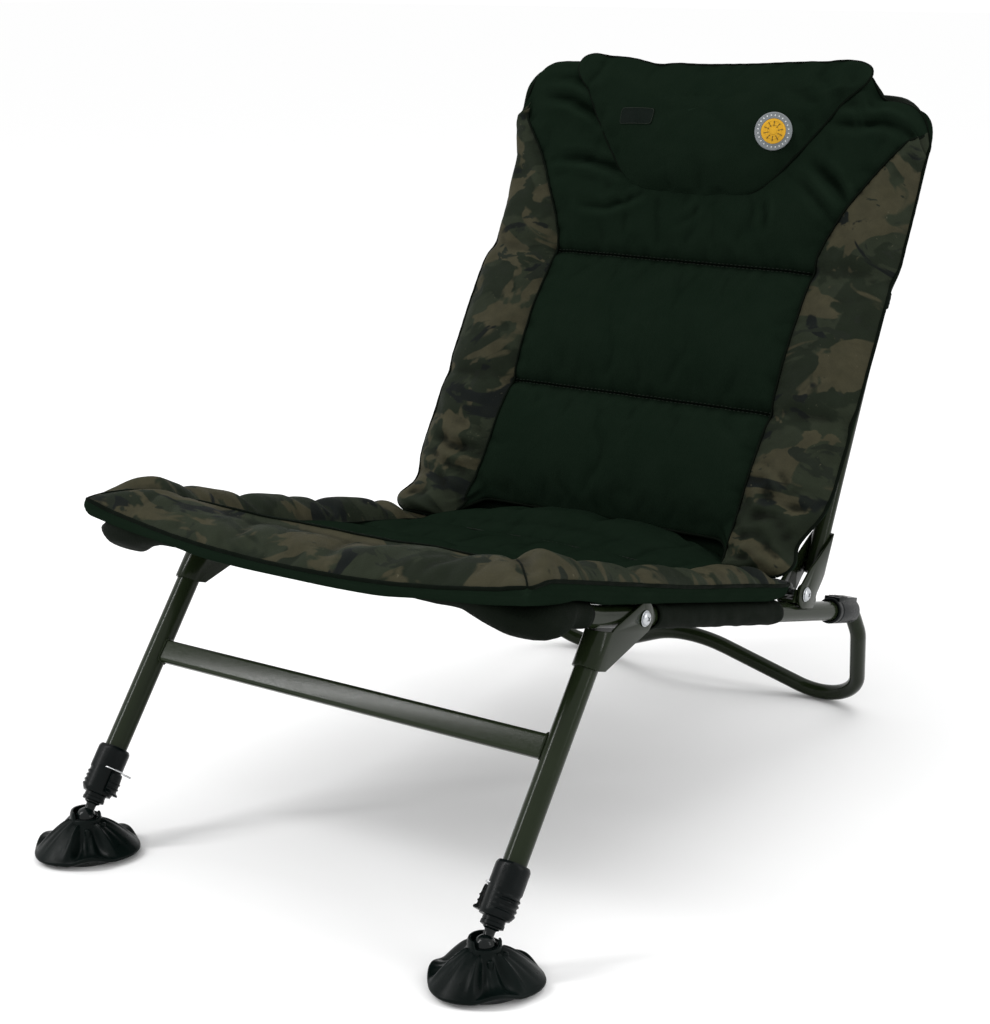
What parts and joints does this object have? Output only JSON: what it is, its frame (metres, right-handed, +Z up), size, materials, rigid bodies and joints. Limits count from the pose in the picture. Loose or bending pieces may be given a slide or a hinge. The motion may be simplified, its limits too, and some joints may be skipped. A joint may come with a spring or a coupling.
{
  "type": "folding carp fishing chair",
  "caption": "Low folding fishing chair: tube frame, bent rear leg, folding front legs with sliding feet on mud discs, folding padded back with headrest.",
  "frame": {"origin": "on the ground, at the middle of the chair's bounding box", "axes": "+Z up, +Y to the rear, +X to the viewer's right when the chair is seen from the front"},
  "size_m": [0.577, 0.8964, 0.7397],
  "materials": {
    "olive_paint": "satin olive green powder coat on steel tube",
    "black_paint": "satin black tube",
    "black_plastic": "moulded black nylon with a fine grain",
    "zinc": "bright zinc plate",
    "spring_wire": "bright spring wire",
    "sling_cloth": "black woven polyester sling",
    "pad_cloth": "brushed dark green polyester with printed woodland side panels",
    "badge_rubber": "soft moulded badge, grey with an amber ring",
    "label_cloth": "bare woven tab"
  },
  "bodies": {
    "seat": {"seat_frame": "olive_paint", "rear_leg": "olive_paint", "rail_clip_left": "black_plastic", "rail_clip_right": "black_plastic", "back_lug_left": "olive_paint", "back_lug_right": "olive_paint", "front_pivot_bolt_left": "zinc", "front_pivot_bolt_right": "zinc", "front_pivot_nut_left": "zinc", "front_pivot_nut_right": "zinc", "back_pivot_bolt_left": "zinc", "back_pivot_bolt_right": "zinc", "back_pivot_nut_left": "zinc", "back_pivot_nut_right": "zinc", "seat_deck": "sling_cloth", "seat_pad": "pad_cloth", "pad_hinge_strip": "pad_cloth"},
    "front_legs": {"leg_bracket_left": "olive_paint", "leg_bracket_right": "olive_paint", "leg_tube_left": "olive_paint", "leg_tube_right": "olive_paint", "leg_crossbar": "olive_paint", "lock_collar_left": "black_plastic", "lock_collar_right": "black_plastic", "lock_wire_left": "spring_wire", "lock_wire_right": "spring_wire"},
    "inner_leg_left_body": {"inner_leg_left": "black_paint", "ball_stem_left": "black_plastic"},
    "foot_ring_left_body": {"socket_ring_left": "black_plastic"},
    "mud_foot_left_body": {"mud_foot_left": "black_plastic"},
    "lock_lever_left_body": {"lock_lever_left": "black_plastic"},
    "inner_leg_right_body": {"inner_leg_right": "black_paint", "ball_stem_right": "black_plastic"},
    "foot_ring_right_body": {"socket_ring_right": "black_plastic"},
    "mud_foot_right_body": {"mud_foot_right": "black_plastic"},
    "lock_lever_right_body": {"lock_lever_right": "black_plastic"},
    "backrest": {"back_frame": "olive_paint", "back_pivot_plate_left": "olive_paint", "back_pivot_plate_right": "olive_paint", "back_deck": "sling_cloth", "back_pad": "pad_cloth", "headrest_pillow": "pad_cloth", "pad_strap_left": "sling_cloth", "pad_strap_right": "sling_cloth", "round_badge": "badge_rubber", "label_tab": "label_cloth"}
  },
  "joints": [
    {"name": "back_fold", "type": "hinge", "parent": "seat", "child": "backrest", "pos_m": [0, 0.16327, 0.20424], "axis": [1, 0, 0], "range_deg": [0, 98], "deforming": ["seat_pad", "back_pad", "headrest_pillow", "pad_hinge_strip"]},
    {"name": "leg_fold", "type": "hinge", "parent": "seat", "child": "front_legs", "pos_m": [0, -0.16563, 0.2659], "axis": [1, 0, 0], "range_deg": [0, 107]},
    {"name": "leg_slide_left", "type": "slide", "parent": "front_legs", "child": "inner_leg_left_body", "axis": [0, -0.6117, -0.7911], "range_m": [0, 0.12]},
    {"name": "foot_tilt_left", "type": "hinge", "parent": "inner_leg_left_body", "child": "foot_ring_left_body", "pos_m": [-0.237, -0.40023, 0.035], "axis": [1, 0, 0], "range_deg": [-25, 12]},
    {"name": "foot_roll_left", "type": "hinge", "parent": "foot_ring_left_body", "child": "mud_foot_left_body", "pos_m": [-0.237, -0.40023, 0.035], "axis": [0, 1, 0], "range_deg": [-18, 18]},
    {"name": "lock_lever_press_left", "type": "hinge", "parent": "front_legs", "child": "lock_lever_left_body", "pos_m": [-0.2193, -0.36995, 0.07416], "axis": [0, -0.7911, 0.6117], "range_deg": [0, 8], "stiffness_Nm_per_rad": 0.1},
    {"name": "leg_slide_right", "type": "slide", "parent": "front_legs", "child": "inner_leg_right_body", "axis": [0, -0.6117, -0.7911], "range_m": [0, 0.12]},
    {"name": "foot_tilt_right", "type": "hinge", "parent": "inner_leg_right_body", "child": "foot_ring_right_body", "pos_m": [0.237, -0.40023, 0.035], "axis": [1, 0, 0], "range_deg": [-25, 12]},
    {"name": "foot_roll_right", "type": "hinge", "parent": "foot_ring_right_body", "child": "mud_foot_right_body", "pos_m": [0.237, -0.40023, 0.035], "axis": [0, 1, 0], "range_deg": [-18, 18]},
    {"name": "lock_lever_press_right", "type": "hinge", "parent": "front_legs", "child": "lock_lever_right_body", "pos_m": [0.2193, -0.36995, 0.07416], "axis": [0, 0.7911, -0.6117], "range_deg": [0, 8], "stiffness_Nm_per_rad": 0.1}
  ]
}
